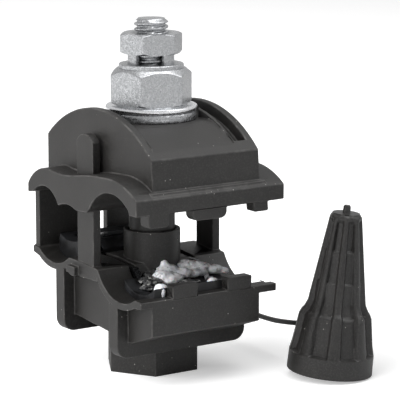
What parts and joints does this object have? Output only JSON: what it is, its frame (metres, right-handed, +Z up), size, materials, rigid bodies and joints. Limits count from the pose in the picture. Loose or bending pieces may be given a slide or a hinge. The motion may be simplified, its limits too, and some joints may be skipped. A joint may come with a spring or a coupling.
{
  "type": "insulation piercing connector",
  "caption": "Cable tap connector: two moulded jaws with toothed blades and seals, drawn together by a bolt and a shear nut, with a tethered end cap.",
  "frame": {"origin": "on the clamp bolt's axis, at the foot of the hex boss, which is the middle of the base of the part's box", "axes": "+Z up the clamp bolt, X along both cables, +Y from the main cable's channel to the tap cable's channel"},
  "size_m": [0.0593, 0.0658, 0.0825],
  "materials": {
    "jaw_plastic": "glass-filled nylon, fine spark-eroded grain",
    "cap_plastic": "satin moulded plastic",
    "seal_rubber": "soft dark rubber",
    "contact_grease": "wet whitish grease",
    "blade_metal": "tinned",
    "bolt_zinc": "bright zinc, rolled thread",
    "nut_zinc": "bright zinc, drawn bar",
    "washer_zinc": "bright zinc, punched"
  },
  "bodies": {
    "lower_part": {"lower_jaw": "jaw_plastic", "clamp_bolt": "bolt_zinc", "blade_lower_right": "blade_metal", "blade_lower_left": "blade_metal", "main_seal_lower": "seal_rubber", "tap_seal_lower": "seal_rubber", "main_grease_lower": "contact_grease", "tap_grease_lower": "contact_grease", "tap_end_cap": "cap_plastic", "cap_tether": "cap_plastic"},
    "upper_part": {"upper_jaw": "jaw_plastic", "blade_upper_right": "blade_metal", "blade_upper_left": "blade_metal", "main_seal_upper": "seal_rubber", "tap_seal_upper": "seal_rubber", "main_grease_upper": "contact_grease", "tap_grease_upper": "contact_grease", "plain_washer": "washer_zinc", "dished_washer": "washer_zinc"},
    "nut": {"shear_nut": "nut_zinc"}
  },
  "joints": [
    {"name": "jaw_slide", "type": "slide", "parent": "lower_part", "child": "upper_part", "axis": [0, 0, -1], "range_m": [0, 0.012]},
    {"name": "nut_turn", "type": "hinge", "parent": "upper_part", "child": "nut", "pos_m": [0, 0, 0.066], "axis": [0, 0, -1], "range_deg": [0, 3456]}
  ],
  "couplings": [
    {"joint": "nut_turn", "follows": "jaw_slide", "rad_per_m": 5026.5}
  ]
}
